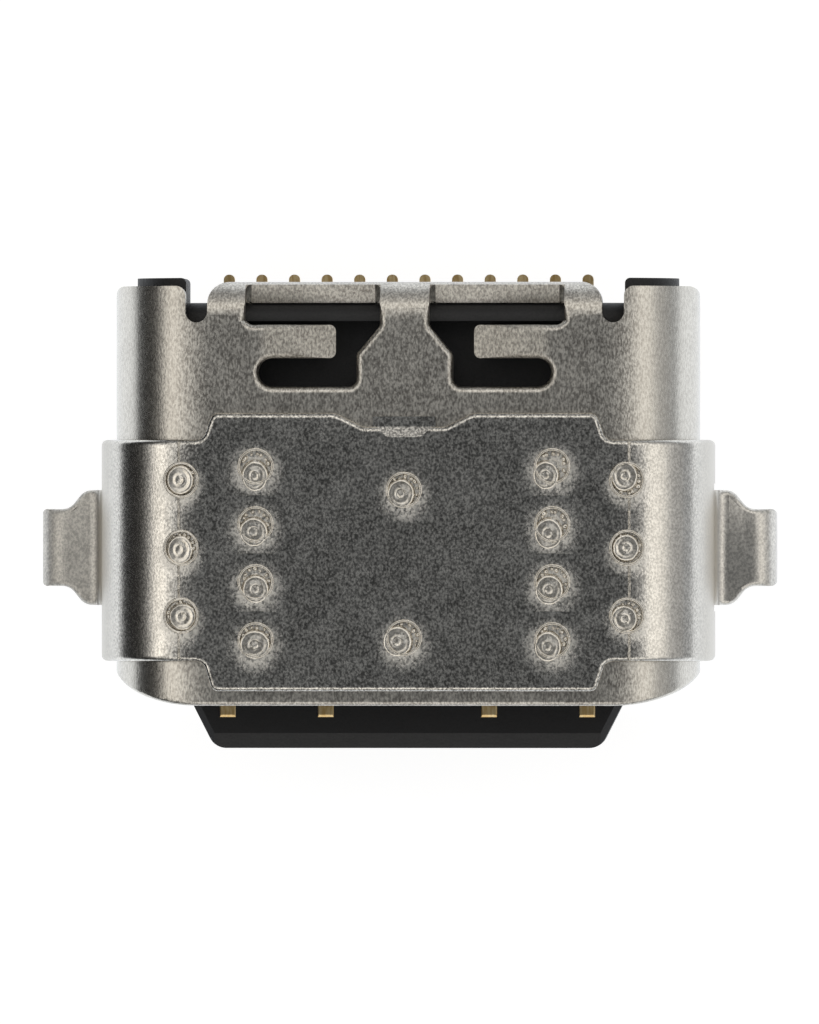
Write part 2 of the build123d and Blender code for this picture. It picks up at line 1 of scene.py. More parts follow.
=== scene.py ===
import logging
import math
import random
from collections.abc import Callable
from dataclasses import dataclass, field
from enum import Enum

import bpy
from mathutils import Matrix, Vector


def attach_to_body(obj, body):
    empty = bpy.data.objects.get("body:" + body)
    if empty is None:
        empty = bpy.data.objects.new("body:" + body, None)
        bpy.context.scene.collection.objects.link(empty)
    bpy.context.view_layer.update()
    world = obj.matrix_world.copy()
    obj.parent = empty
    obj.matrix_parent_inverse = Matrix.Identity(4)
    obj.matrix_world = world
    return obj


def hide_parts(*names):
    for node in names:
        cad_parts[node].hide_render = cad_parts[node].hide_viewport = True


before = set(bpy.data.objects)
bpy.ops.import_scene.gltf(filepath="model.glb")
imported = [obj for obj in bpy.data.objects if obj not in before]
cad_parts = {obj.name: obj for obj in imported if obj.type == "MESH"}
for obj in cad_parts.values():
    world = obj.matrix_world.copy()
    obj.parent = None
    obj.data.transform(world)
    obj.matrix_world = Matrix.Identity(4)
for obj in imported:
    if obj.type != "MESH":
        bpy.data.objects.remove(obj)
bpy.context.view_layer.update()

logging.basicConfig(level=logging.INFO, format="%(name)s: %(message)s")
log = logging.getLogger("charging_port")

MM = 0.001
Pair = tuple[float, float]
Socket = bpy.types.NodeSocket
Tree = bpy.types.NodeTree


class Slot(Enum):
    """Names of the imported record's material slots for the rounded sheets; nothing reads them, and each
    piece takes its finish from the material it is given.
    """

    SHELL = "nickel_inner_shell"
    COVER = "nickel_cover"
    PLASTIC = "black_lcp"


def mm(*values: float) -> Vector:
    """Turn millimetres into a vector in metres.

    Args:
        values: Two or three lengths in millimetres.

    Returns:
        The same lengths in metres.
    """
    return Vector([value * MM for value in values])


def metres(ends_mm: Pair, sign: float = 1.0) -> Pair:
    """Turn both ends of a range from millimetres into metres.

    Args:
        ends_mm: The two ends, in millimetres.
        sign: One, or minus one to mirror the range.

    Returns:
        The two ends in metres.
    """
    return (sign * ends_mm[0] * MM, sign * ends_mm[1] * MM)


def colour(hex_code: str) -> tuple[float, float, float, float]:
    """Turn an sRGB hex code into the linear colour that a shader socket takes.

    Args:
        hex_code: Six hex digits, such as "c8b49a".

    Returns:
        Linear red, green, blue and an alpha of one.
    """
    channels = []
    for start in (0, 2, 4):
        value = int(hex_code[start:start + 2], 16) / 255
        channels.append(value / 12.92 if value <= 0.04045 else ((value + 0.055) / 1.055) ** 2.4)
    return (channels[0], channels[1], channels[2], 1.0)


def add_node(
    tree: Tree,
    kind: str,
    settings: dict[str, object] | None = None,
    inputs: dict[str | int, object] | None = None,
) -> bpy.types.Node:
    """Add one shader node, set its options, and fill or link its inputs.

    Args:
        tree: Node tree that the node goes into.
        kind: Blender's type name of the node.
        settings: Option names and their values.
        inputs: Socket names or numbers, each with a value or with the output socket that feeds it.

    Returns:
        The new node.
    """
    node = tree.nodes.new(kind)
    for name, value in (settings or {}).items():
        setattr(node, name, value)
    for name, value in (inputs or {}).items():
        if isinstance(value, Socket):
            tree.links.new(value, node.inputs[name])
        else:
            node.inputs[name].default_value = value
    return node


def set_ramp(node: bpy.types.Node, stops: list[tuple[float, tuple[float, float, float, float]]]) -> None:
    """Give a colour ramp its stops.

    Args:
        node: The colour ramp node.
        stops: Position and linear colour of each stop, from low to high.
    """
    elements = node.color_ramp.elements
    while len(elements) > 1:
        elements.remove(elements[-1])
    elements[0].position, elements[0].color = stops[0]
    for position, value in stops[1:]:
        elements.new(position).color = value


def grey(value: float) -> tuple[float, float, float, float]:
    """A linear grey."""
    return (value, value, value, 1.0)


def start_material(name: str) -> tuple[bpy.types.Material, Tree, bpy.types.Node]:
    """Make an empty material with its output node.

    Args:
        name: The real material's name and how its surface was made.

    Returns:
        The material, its node tree and its output node.
    """
    material = bpy.data.materials.new(name)
    material.use_nodes = True
    tree = material.node_tree
    tree.nodes.clear()
    return material, tree, add_node(tree, "ShaderNodeOutputMaterial")


def combine(
    tree: Tree, operation: str, first: object, second: object = 0.0, third: object = 0.0
) -> Socket:
    """Add one Math node.

    Args:
        tree: Node tree that the node goes into.
        operation: Blender's name of the operation.
        first: Value or socket of the first input.
        second: Value or socket of the second input.
        third: Value or socket of the third input.

    Returns:
        The output socket.
    """
    node = add_node(tree, "ShaderNodeMath", {"operation": operation}, {0: first, 1: second, 2: third})
    return node.outputs[0]


def stretch_range(
    tree: Tree, value: Socket, source: Pair, target: Pair = (0.0, 1.0), smooth: bool = False
) -> Socket:
    """Map a value from one range to another, held at both ends.

    Args:
        tree: Node tree that the node goes into.
        value: Socket to map.
        source: Range of the input.
        target: Range of the output.
        smooth: Ease in and out of the ends.

    Returns:
        The output socket.
    """
    kind = "SMOOTHSTEP" if smooth else "LINEAR"
    node = add_node(tree, "ShaderNodeMapRange", {"interpolation_type": kind},
                    {"Value": value, "From Min": source[0], "From Max": source[1],
                     "To Min": target[0], "To Max": target[1]})
    return node.outputs[0]


@dataclass(frozen=True)
class SpotRow:
    """One row of weld spots along Y, mirrored on both sides of the cover.

    The scuffed metal round a spot reaches halo_mm from its middle.
    """

    x_mm: float
    front_y_mm: float
    pitch_mm: float
    count: int
    halo_mm: float

    def along(self) -> list[float]:
        """Y of each spot, from the front, in millimetres."""
        return [self.front_y_mm + self.pitch_mm * step for step in range(self.count)]


SIDE_ROW = SpotRow(x_mm=3.40, front_y_mm=-1.590, pitch_mm=1.033, count=3, halo_mm=0.44)
INNER_ROW = SpotRow(x_mm=2.26, front_y_mm=-1.9645, pitch_mm=0.883, count=4, halo_mm=0.53)
MIDDLE_ROW = SpotRow(x_mm=0.0, front_y_mm=-1.925, pitch_mm=2.25, count=2, halo_mm=0.50)


@dataclass(frozen=True)
class SheetZones:
    """Ends of the zones that the tools left on the sheets, as distances from the middle in millimetres.

    Each pair runs from where a zone starts to fade in to where it is full, across the port unless its
    name says otherwise.
    """

    bend: Pair = (3.35, 3.85)
    wall: Pair = (4.40, 4.65)
    dragged_inner: Pair = (4.40, 4.58)
    dragged_outer: Pair = (4.74, 4.70)
    ear_grain: Pair = (4.72, 4.80)
    ear_skin: Pair = (4.70, 4.78)
    finger_root: Pair = (2.24, 2.08)
    finger_tip: Pair = (0.95, 1.02)
    finger_front_along: Pair = (2.26, 2.30)
    finger_rear_along: Pair = (2.88, 2.84)


ZONES = SheetZones()


@dataclass(frozen=True)
class PlatedSheet:
    """Nickel-plated sheet metal: warm grey, with a peel of small dents, grain and cloudy patches.

    Shares run from zero to one. What a zone adds to the roughness has a name that ends in dull.
    """

    name: str
    light: str
    dark: str
    roughness: float
    grain_mm: float
    stretch: float
    bump_mm: float
    halo: bool = False
    worked: bool = False
    rubbed: float = 0.0
    patch_mm: float = 0.40
    grain_range: Pair = (0.37, 0.63)
    patch_range: Pair = (0.36, 0.64)
    grain_share: float = 0.80
    patch_share: float = 0.20
    roughness_spread: Pair = (-0.04, 0.05)
    bend_grain: float = 0.45
    wall_grain: float = 0.15
    ear_grain: float = 0.45
    rubbed_tint: float = 0.78
    finger_dull: float = 0.25
    right_ear_dull: float = 0.14
    left_ear_dull: float = 0.30
    dragged_dull: float = 0.25
    scuff_dull: float = 0.30
    scuff_tint: float = 0.50
    scuff_depth: float = 2.0
    scuff_core_mm: float = 0.20
    scuff_shift_mm: float = 0.10
    scuff_break_mm: float = 0.09
    scuff_range: Pair = (0.26, 0.54)

    def build(self) -> bpy.types.Material:
        """Build the material.

        Returns:
            The finished material.
        """
        material, tree, output = start_material(self.name)
        place = add_node(tree, "ShaderNodeTexCoord").outputs["Object"]
        axes = add_node(tree, "ShaderNodeSeparateXYZ", {}, {0: place})
        side = combine(tree, "ABSOLUTE", axes.outputs[0])
        grain = self.grain(tree, place)
        grainy = self.grain_left(tree, side)
        tint = combine(tree, "SUBTRACT", self.specks(tree, place, grain), self.rubbed_tint)
        tint = combine(tree, "MULTIPLY_ADD", tint, grainy, self.rubbed_tint)
        depth = combine(tree, "MULTIPLY", grain, grainy)
        low, high = self.roughness_spread
        rough = stretch_range(tree, tint, (0.0, 1.0), (self.roughness + low, self.roughness + high))
        rough = combine(tree, "MULTIPLY_ADD", combine(tree, "SUBTRACT", grainy, 1.0), self.rubbed, rough)
        if self.worked:
            rough = combine(tree, "MULTIPLY_ADD", self.fingers(tree, axes, side), self.finger_dull, rough)
        if self.halo:
            scuffed = self.scuffs(tree, place)
            rough = self.dull_ears_and_walls(tree, axes, side, rough)
            tint = combine(tree, "MULTIPLY_ADD", scuffed, self.scuff_tint, tint)
            rough = combine(tree, "MULTIPLY_ADD", scuffed, self.scuff_dull, rough)
            torn = combine(tree, "MULTIPLY", depth, scuffed)
            depth = combine(tree, "MULTIPLY_ADD", torn, self.scuff_depth, depth)
        base = add_node(tree, "ShaderNodeMix", {"data_type": "RGBA"}, {"Factor": tint})
        base.inputs[6].default_value = colour(self.dark)
        base.inputs[7].default_value = colour(self.light)
        bump = add_node(tree, "ShaderNodeBump", {},
                        {"Strength": 1.0, "Distance": self.bump_mm * MM, "Height": depth})
        shader = add_node(tree, "ShaderNodeBsdfPrincipled", {},
                          {"Base Color": base.outputs[2], "Metallic": 1.0,
                           "Roughness": rough, "Normal": bump.outputs[0]})
        tree.links.new(shader.outputs[0], output.inputs["Surface"])
        return material

    def grain(self, tree: Tree, place: Socket) -> Socket:
        """Noise of the fine dents, longer along the sheet than across it, as rolling leaves them.

        Args:
            tree: Node tree of the material.
            place: Object coordinates.

        Returns:
            The noise.
        """
        per_metre = 1 / (self.grain_mm * MM)
        along = add_node(tree, "ShaderNodeMapping", {"vector_type": "POINT"},
                         {"Vector": place, "Scale": (per_metre, per_metre / self.stretch, per_metre)})
        grain = add_node(tree, "ShaderNodeTexNoise", {},
                         {"Vector": along.outputs[0], "Scale": 1.0, "Detail": 2.0, "Roughness": 0.6})
        return grain.outputs["Fac"]

    def grain_left(self, tree: Tree, side: Socket) -> Socket:
        """Share of the grain that is left: the folding dies rubbed the round sides smooth.

        Args:
            tree: Node tree of the material.
            side: Distance from the middle plane.

        Returns:
            The share.
        """
        bend = stretch_range(tree, side, metres(ZONES.bend), (1.0, self.bend_grain))
        wall = stretch_range(tree, side, metres(ZONES.wall), (1.0, self.wall_grain))
        ear = stretch_range(tree, side, metres(ZONES.ear_grain), (0.0, self.ear_grain))
        return combine(tree, "MAXIMUM", combine(tree, "MULTIPLY", bend, wall), ear)

    def specks(self, tree: Tree, place: Socket, grain: Socket) -> Socket:
        """Mix of fine specks and faint cloudy patches, from dark to light.

        Args:
            tree: Node tree of the material.
            place: Object coordinates.
            grain: Noise of the fine dents.

        Returns:
            The mix.
        """
        patch = add_node(tree, "ShaderNodeTexNoise", {},
                         {"Vector": place, "Scale": 1 / (self.patch_mm * MM), "Detail": 3.0,
                          "Roughness": 0.65})
        fine = stretch_range(tree, grain, self.grain_range)
        cloud = stretch_range(tree, patch.outputs["Fac"], self.patch_range)
        cloud = combine(tree, "MULTIPLY", cloud, self.patch_share)
        return combine(tree, "MULTIPLY_ADD", fine, self.grain_share, cloud)

    def fingers(self, tree: Tree, axes: bpy.types.Node, side: Socket) -> Socket:
        """Mask of the spring fingers, which the bending punch scuffed.

        Args:
            tree: Node tree of the material.
            axes: Node that splits the object coordinates.
            side: Distance from the middle plane.

        Returns:
            The mask, one on the fingers and zero elsewhere.
        """
        across = combine(tree, "MULTIPLY", stretch_range(tree, side, metres(ZONES.finger_root)),
                         stretch_range(tree, side, metres(ZONES.finger_tip)))
        front = stretch_range(tree, axes.outputs[1], metres(ZONES.finger_front_along))
        rear = stretch_range(tree, axes.outputs[1], metres(ZONES.finger_rear_along))
        return combine(tree, "MULTIPLY", across, combine(tree, "MULTIPLY", front, rear))

    def dull_ears_and_walls(self, tree: Tree, axes: bpy.types.Node,
                            side: Socket, rough: Socket) -> Socket:
        """Make the ears duller than the rubbed top, and the lower walls matte where the die dragged.

        Args:
            tree: Node tree of the material.
            axes: Node that splits the object coordinates.
            side: Distance from the middle plane.
            rough: Roughness so far.

        Returns:
            The new roughness.
        """
        right = stretch_range(tree, axes.outputs[0], metres(ZONES.ear_skin), (0.0, self.right_ear_dull))
        left = stretch_range(tree, axes.outputs[0], metres(ZONES.ear_skin, -1.0), (0.0, self.left_ear_dull))
        rough = combine(tree, "ADD", rough, combine(tree, "ADD", left, right))
        dragged = combine(tree, "MULTIPLY", stretch_range(tree, side, metres(ZONES.dragged_inner)),
                          stretch_range(tree, side, metres(ZONES.dragged_outer)))
        return combine(tree, "MULTIPLY_ADD", dragged, self.dragged_dull, rough)

    def scuffs(self, tree: Tree, place: Socket) -> Socket:
        """Mask of the scuffed metal round the weld spots, one there and zero elsewhere.

        Args:
            tree: Node tree of the material.
            place: Object coordinates.

        Returns:
            The mask, broken up by noise.
        """
        axes = add_node(tree, "ShaderNodeSeparateXYZ", {}, {0: place})
        side = combine(tree, "ABSOLUTE", axes.outputs[0])
        mask = None
        for row in (SIDE_ROW, INNER_ROW, MIDDLE_ROW):
            front = row.front_y_mm * MM
            pitch = row.pitch_mm * MM
            steps = combine(tree, "DIVIDE", combine(tree, "SUBTRACT", axes.outputs[1], front), pitch)
            steps = combine(tree, "MAXIMUM", combine(tree, "ROUND", steps), 0.0)
            steps = combine(tree, "MINIMUM", steps, row.count - 1)
            spot_y = combine(tree, "MULTIPLY_ADD", steps, pitch, front - self.scuff_shift_mm * MM)
            off_y = combine(tree, "SUBTRACT", axes.outputs[1], spot_y)
            across = side if row.x_mm else axes.outputs[0]
            off_x = combine(tree, "SUBTRACT", across, row.x_mm * MM)
            away = combine(tree, "SQRT", combine(tree, "MULTIPLY_ADD", off_x, off_x,
                                                 combine(tree, "MULTIPLY", off_y, off_y)))
            reach = metres((self.scuff_core_mm, row.halo_mm))
            near = stretch_range(tree, away, reach, (1.0, 0.0), smooth=True)
            mask = near if mask is None else combine(tree, "MAXIMUM", mask, near)
        broken = add_node(tree, "ShaderNodeTexNoise", {},
                          {"Vector": place, "Scale": 1 / (self.scuff_break_mm * MM), "Detail": 3.0,
                           "Roughness": 0.7})
        return combine(tree, "MULTIPLY", mask, stretch_range(tree, broken.outputs["Fac"], self.scuff_range))


@dataclass(frozen=True)
class MouldedPolymer:
    """Black liquid-crystal polymer: a fine eroded mould skin with faint pale flow marks."""

    name: str
    light: str
    dark: str
    roughness: float
    skin_mm: float
    flows_per_mm: float = 0.6
    skin_range: Pair = (0.3, 0.7)
    roughness_spread: Pair = (-0.06, 0.10)
    bump_mm: float = 0.003

    def build(self) -> bpy.types.Material:
        """Build the material.

        Returns:
            The finished material.
        """
        material, tree, output = start_material(self.name)
        place = add_node(tree, "ShaderNodeTexCoord").outputs["Object"]
        skin = add_node(tree, "ShaderNodeTexNoise", {},
                        {"Vector": place, "Scale": 1 / (self.skin_mm * MM), "Detail": 3.0})
        flow = add_node(tree, "ShaderNodeTexNoise", {},
                        {"Vector": place, "Scale": self.flows_per_mm / MM, "Detail": 2.0, "Distortion": 1.5})
        tint = add_node(tree, "ShaderNodeMix", {"data_type": "RGBA"}, {"Factor": flow.outputs["Fac"]})
        tint.inputs[6].default_value = colour(self.dark)
        tint.inputs[7].default_value = colour(self.light)
        low, high = self.roughness_spread
        rough = stretch_range(tree, skin.outputs["Fac"], self.skin_range,
                              (self.roughness + low, self.roughness + high))
        bump = add_node(tree, "ShaderNodeBump", {},
                        {"Strength": 1.0, "Distance": self.bump_mm * MM, "Height": skin.outputs["Fac"]})
        shader = add_node(tree, "ShaderNodeBsdfPrincipled", {},
                          {"Base Color": tint.outputs[2], "Roughness": rough,
                           "Normal": bump.outputs[0], "IOR": 1.5})
        tree.links.new(shader.outputs[0], output.inputs["Surface"])
        return material


class Finish(Enum):
    """The finishes of this port, each from the real material and how its surface was made."""

    # The real grain of plating and rolling is near 0.01 mm. It is drawn three to five times as coarse in
    # every metal here, so that it shows in the picture.
    # Rolled sheet under bright nickel: a warm grey skin of fine dark and light specks that reflects
    # softly, smooth and brighter on the round sides.
    SHELL = PlatedSheet("nickel_plated_rolled_sheet", light="e8e4db", dark="96918a", roughness=0.35,
                        grain_mm=0.030, stretch=2.0, bump_mm=0.0036, worked=True, rubbed=0.20)
    # Stamped sheet under nickel: clearer reflections under sharp dark and light specks, with a pale
    # scuffed ring round each weld spot.
    COVER = PlatedSheet("nickel_plated_stamped_sheet", light="f4f0e8", dark="706e6a", roughness=0.19,
                        grain_mm=0.032, stretch=1.3, bump_mm=0.0032, halo=True)
    # Metal pushed up and torn by the welding punch: paler and with less grain than the sheet round it.
    SPOT = PlatedSheet("nickel_plated_coined_spot", light="f6f1e8", dark="cfc8bb", roughness=0.27,
                       grain_mm=0.045, stretch=1.0, bump_mm=0.0024)
    # Bare stamped spring steel: cooler grey than the nickel, with fine lengthwise lines.
    STEEL = PlatedSheet("stainless_steel_stamped", light="c4c3c0", dark="9a9996", roughness=0.28,
                        grain_mm=0.04, stretch=5.0, bump_mm=0.003)
    # Gold over copper alloy: pale yellow with faint lengthwise lines.
    GOLD = PlatedSheet("gold_plated_copper_alloy_strip", light="fae3b2", dark="dfbb7d", roughness=0.33,
                       grain_mm=0.04, stretch=6.0, bump_mm=0.002)
    # Glass-filled black polymer: near-black with the fine matte skin of an eroded mould, drawn about
    # twice as coarse as it is.
    POLYMER = MouldedPolymer("liquid_crystal_polymer_moulded", light="18181a", dark="0d0d0e",
                             roughness=0.52, skin_mm=0.03)


def dress(piece: bpy.types.Object, material: bpy.types.Material) -> None:
    """Put one material on a whole piece.

    Args:
        piece: Mesh object to dress.
        material: Material that fills all of its slots.
    """
    if not piece.material_slots:
        piece.data.materials.append(material)
    for slot in piece.material_slots:
        slot.link = "DATA"
        slot.material = material


def only(piece: bpy.types.Object) -> None:
    """Select one object, and nothing else, and make it active."""
    bpy.ops.object.select_all(action="DESELECT")
    piece.select_set(True)
    bpy.context.view_layer.objects.active = piece


def attach(piece: bpy.types.Object) -> None:
    """Let a finished piece ride on the port.

    Args:
        piece: The finished piece, with its place in its mesh.
    """
    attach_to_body(piece, "root")


@dataclass(frozen=True)
class ShellEdges:
    """Which sheared edges of the shell are rounded, from its own sizes in millimetres.

    The relief notches, the U notches beside the flap and the round sides are too narrow or too curved
    for it.
    """

    side_axis: Pair = (2.89, 1.58)
    side_radii: Pair = (1.58, 1.28)
    bend_axis: Pair = (2.90, 2.56)
    bend_outside: float = 0.57
    top_z: float = 3.1
    lowest_z: float = 2.60
    reliefs_x: Pair = (0.375, 2.435)
    reliefs_from_y: float = 3.05
    relief_reach: float = 0.12
    bar_y: float = 3.30
    bar_half: float = 2.60
    notch_x: float = 2.70
    notch_from_y: float = 2.0

    def share(self, x: float, y: float, z: float) -> float:
        """How much of the full rounding an edge takes.

        Args:
            x: Middle of the edge, in millimetres.
            y: The same along the port.
            z: The same in height.

        Returns:
            Zero or one.
        """
        across = abs(x)
        bend_y, bend_z = self.bend_axis
        to_relief = min(abs(across - relief) for relief in self.reliefs_x)
        by_relief = y > self.reliefs_from_y and to_relief < self.relief_reach
        by_notch = across > self.notch_x and y > self.notch_from_y
        under_bar = y > self.bar_y and across < self.bar_half
        on_side = across > self.side_axis[0]
        if by_relief or by_notch or under_bar or on_side:
            return 0.0
        outside = math.hypot(y - bend_y, z - bend_z) > self.bend_outside if y > bend_y else z > self.top_z
        return 1.0 if outside and z > self.lowest_z else 0.0


@dataclass(frozen=True)
class CoverEdges:
    """Which sheared edges of the cover are rounded: those on the upper side of the ears."""

    ear_x: Pair = (4.76, 5.54)
    ear_from_z: float = 1.42

    def share(self, x: float, y: float, z: float) -> float:
        """Share of the full rounding that an edge takes, from its middle in millimetres."""
        return 1.0 if self.ear_x[0] < abs(x) < self.ear_x[1] and z > self.ear_from_z else 0.0


@dataclass
class RoundedSheet:
    """A CAD sheet with the small rounding that shearing and plating leave on its edges."""

    node: str
    name: str
    slot: Slot
    edge_round_mm: float
    share: Callable[[float, float, float], float]
    round_sides: ShellEdges | None = None
    edge_steps: int = 3
    sharp_degrees: float = 40.0
    flat_degrees: float = 0.5
    shade_degrees: float = 30.0
    merge_mm: float = 0.0005
    side_overlap_mm: float = 0.001
    side_tolerance_mm: float = 0.012
    side_facing: float = 0.985

    def keep_round_sides(self, piece: bpy.types.Object, edges: ShellEdges) -> None:
        """Point the normals of the round sides straight away from their axis.

        Args:
            piece: The rounded copy.
            edges: Sizes of the shell, with the axis and the radii of its sides.
        """
        mesh = piece.data
        axis_x, axis_z = edges.side_axis
        normals = [corner.vector.copy() for corner in mesh.corner_normals]
        for face in mesh.polygons:
            for corner in face.loop_indices:
                place = mesh.vertices[mesh.loops[corner].vertex_index].co / MM
                across = abs(place.x) - axis_x
                radial = Vector((math.copysign(across, place.x), 0.0, place.z - axis_z))
                off = min(abs(radial.length - radius) for radius in edges.side_radii)
                facing = face.normal.dot(radial.normalized())
                on_side = across > -self.side_overlap_mm and off < self.side_tolerance_mm
                if on_side and abs(facing) > self.side_facing:
                    normals[corner] = math.copysign(1.0, facing) * radial.normalized()
        mesh.normals_split_custom_set(normals)

    def build(self, material: bpy.types.Material) -> bpy.types.Object:
        """Copy the node, round its sheared edges and let the copy stand for it.

        Args:
            material: Plated sheet material.

        Returns:
            The finished sheet.
        """
        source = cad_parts[self.node]
        piece = source.copy()
        piece.data = source.data.copy()
        piece.name = self.name
        for key in [key for key in piece.keys() if key.startswith("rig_")]:
            del piece[key]
        piece.parent = None
        bpy.context.scene.collection.objects.link(piece)
        only(piece)
        bpy.ops.object.mode_set(mode="EDIT")
        bpy.ops.mesh.select_mode(type="EDGE")
        bpy.ops.mesh.select_all(action="SELECT")
        bpy.ops.mesh.customdata_custom_splitnormals_clear()
        bpy.ops.mesh.remove_doubles(threshold=self.merge_mm * MM)
        bpy.ops.mesh.dissolve_limited(angle_limit=math.radians(self.flat_degrees))
        bpy.ops.mesh.select_all(action="DESELECT")
        bpy.ops.mesh.edges_select_sharp(sharpness=math.radians(self.sharp_degrees))
        bpy.ops.object.mode_set(mode="OBJECT")
        vertices = piece.data.vertices
        weight = piece.data.attributes.new("bevel_weight_edge", "FLOAT", "EDGE")
        for edge in piece.data.edges:
            middle = (vertices[edge.vertices[0]].co + vertices[edge.vertices[1]].co) / 2 / MM
            weight.data[edge.index].value = self.share(*middle) if edge.select else 0.0
        bevel = piece.modifiers.new("edge_round", "BEVEL")
        bevel.width = self.edge_round_mm * MM
        bevel.segments = self.edge_steps
        bevel.limit_method = "WEIGHT"
        bevel.use_clamp_overlap = False
        bevel.miter_outer = "MITER_ARC"
        bpy.ops.object.modifier_apply(modifier=bevel.name)
        bpy.ops.object.shade_smooth_by_angle(angle=math.radians(self.shade_degrees))
        weighted = piece.modifiers.new("face_weighted", "WEIGHTED_NORMAL")
        weighted.keep_sharp = True
        bpy.ops.object.modifier_apply(modifier=weighted.name)
        if self.round_sides:
            self.keep_round_sides(piece, self.round_sides)
        dress(piece, material)
        attach(piece)
        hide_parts(self.node)
        log.info("%s: %d faces", piece.name, len(piece.data.polygons))
        return piece


@dataclass
class CoverSurface:
    """Outer surface of the cover: flat in the middle, with a round bend on each side."""

    top_z_mm: float = 3.38
    bend_x_mm: float = 3.09
    bend_radius_mm: float = 1.60

    def at(self, x_mm: float) -> Pair:
        """Height and tilt of the surface.

        Args:
            x_mm: Distance across the cover from its middle.

        Returns:
            Height in millimetres and tilt about Y in radians.
        """
        over = max(abs(x_mm) - self.bend_x_mm, 0.0)
        drop = self.bend_radius_mm - math.sqrt(self.bend_radius_mm**2 - over**2)
        tilt = math.asin(over / self.bend_radius_mm)
        return self.top_z_mm - drop, math.copysign(tilt, x_mm)


@dataclass
class WeldSpots:
    """Coined weld spots: a thin lip round each pit, a crater pushed up in it, and torn beads behind it.

    The crater's shift from the pit differs from spot to spot, as the electrode left it.
    """

    lip_radius_mm: float = 0.257
    lip_round_mm: float = 0.021
    lip_height: float = 0.75
    lip_dent_mm: float = 0.0025
    lip_sides: tuple[int, int] = (56, 8)
    crater_radius_mm: float = 0.236
    crater_base_mm: float = 0.03
    crater_top_mm: float = -0.012
    crater_middle_dip_mm: float = 0.002
    crater_dent_mm: float = 0.0055
    crater_sides: int = 32
    crater_steps_mm: tuple[Pair, ...] = (
        (0.042, 0.024), (0.014, 0.002), (0.034, -0.017), (0.046, -0.001), (0.022, 0.011), (0.014, 0.001),
        (0.014, -0.008))
    crater_widths: Pair = (0.88, 1.04)
    crater_lengths: Pair = (0.92, 1.08)
    bead_ring_mm: float = 0.195
    bead_ring_spread_mm: Pair = (-0.012, 0.018)
    bead_radii_mm: Pair = (0.026, 0.044)
    bead_widths: Pair = (0.6, 1.2)
    bead_height: float = 0.75
    bead_z_mm: float = -0.030
    bead_dent_mm: float = 0.006
    bead_step_degrees: float = 26.0
    bead_swing_degrees: float = 7.0
    beads: int = 7
    open_rear_mm: float = 0.03
    facing_up: float = 0.9
    spin_radians: Pair = (0.0, 6.0)
    bead_spin_radians: Pair = (0.0, 3.0)
    seed: int = 5
    crater_seed: int = 100
    surface: CoverSurface = field(default_factory=CoverSurface)
    middle_shifts: tuple[Pair, ...] = ((-0.10, -0.06), (-0.05, -0.06))
    left_side_shifts: tuple[Pair, ...] = ((0.02, -0.02), (-0.02, -0.035), (-0.02, 0.0))
    left_inner_shifts: tuple[Pair, ...] = (
        (-0.015, -0.07), (0.0, -0.11), (-0.03, -0.12), (-0.01, -0.15))
    right_side_shifts: tuple[Pair, ...] = ((-0.045, -0.05), (-0.015, 0.0), (-0.04, 0.055))
    right_inner_shifts: tuple[Pair, ...] = (
        (-0.07, -0.10), (-0.05, -0.12), (-0.06, -0.145), (-0.10, -0.14))

    def places(self) -> list[tuple[float, float, float, float]]:
        """Middle of each pit and the shift of its crater, all in millimetres."""
        rows = (
            (0.0, MIDDLE_ROW, self.middle_shifts),
            (-SIDE_ROW.x_mm, SIDE_ROW, self.left_side_shifts),
            (-INNER_ROW.x_mm, INNER_ROW, self.left_inner_shifts),
            (SIDE_ROW.x_mm, SIDE_ROW, self.right_side_shifts),
            (INNER_ROW.x_mm, INNER_ROW, self.right_inner_shifts),
        )
        return [(x, y, dx, dy) for x, row, shifts in rows for y, (dx, dy) in zip(row.along(), shifts)]

    def lip(self) -> bpy.types.Object:
        """Model the thin lip once, flat on the plane Z = 0."""
        bpy.ops.object.select_all(action="DESELECT")
        bpy.ops.mesh.primitive_torus_add(
            major_radius=self.lip_radius_mm * MM, minor_radius=self.lip_round_mm * MM,
            major_segments=self.lip_sides[0], minor_segments=self.lip_sides[1])
        lip = bpy.context.object
        bpy.ops.object.mode_set(mode="EDIT")
        bpy.ops.mesh.select_all(action="SELECT")
        bpy.ops.transform.resize(value=(1.0, 1.0, self.lip_height))
        bpy.ops.object.mode_set(mode="OBJECT")
        bpy.ops.object.shade_smooth()
        return lip

    def crater(self) -> bpy.types.Object:
        """Model the crater once, standing in its pit on the plane Z = 0."""
        bpy.ops.object.select_all(action="DESELECT")
        bpy.ops.mesh.primitive_cylinder_add(
            vertices=self.crater_sides, radius=self.crater_radius_mm * MM, depth=self.crater_base_mm * MM,
            location=mm(0, 0, self.crater_top_mm - self.crater_base_mm / 2))
        crater = bpy.context.object
        bpy.ops.object.transform_apply(location=True, rotation=False, scale=False)
        bpy.ops.object.mode_set(mode="EDIT")
        bpy.ops.mesh.select_all(action="DESELECT")
        bpy.ops.object.mode_set(mode="OBJECT")
        for face in crater.data.polygons:
            face.select = face.normal.z > self.facing_up
        bpy.ops.object.mode_set(mode="EDIT")
        # Run and rise of each step, from the outside inwards: wall and top of the ring, dip, and nub.
        for run, rise in self.crater_steps_mm:
            bpy.ops.mesh.inset(thickness=run * MM, depth=rise * MM, use_even_offset=True)
        bpy.ops.mesh.poke(offset=-self.crater_middle_dip_mm * MM)
        bpy.ops.object.mode_set(mode="OBJECT")
        bpy.ops.object.shade_smooth()
        return crater

    def torn_beads(self, draw: random.Random, seed: int, dx: float, dy: float) -> bpy.types.Object:
        """Model the torn beads that lie in the open part of the pit.

        Args:
            draw: Source of random numbers.
            seed: Seed of the ragged skin.
            dx: Shift of the crater across, in millimetres.
            dy: Shift of the crater along, in millimetres.

        Returns:
            The beads as one object, round the pit's middle at Z = 0.
        """
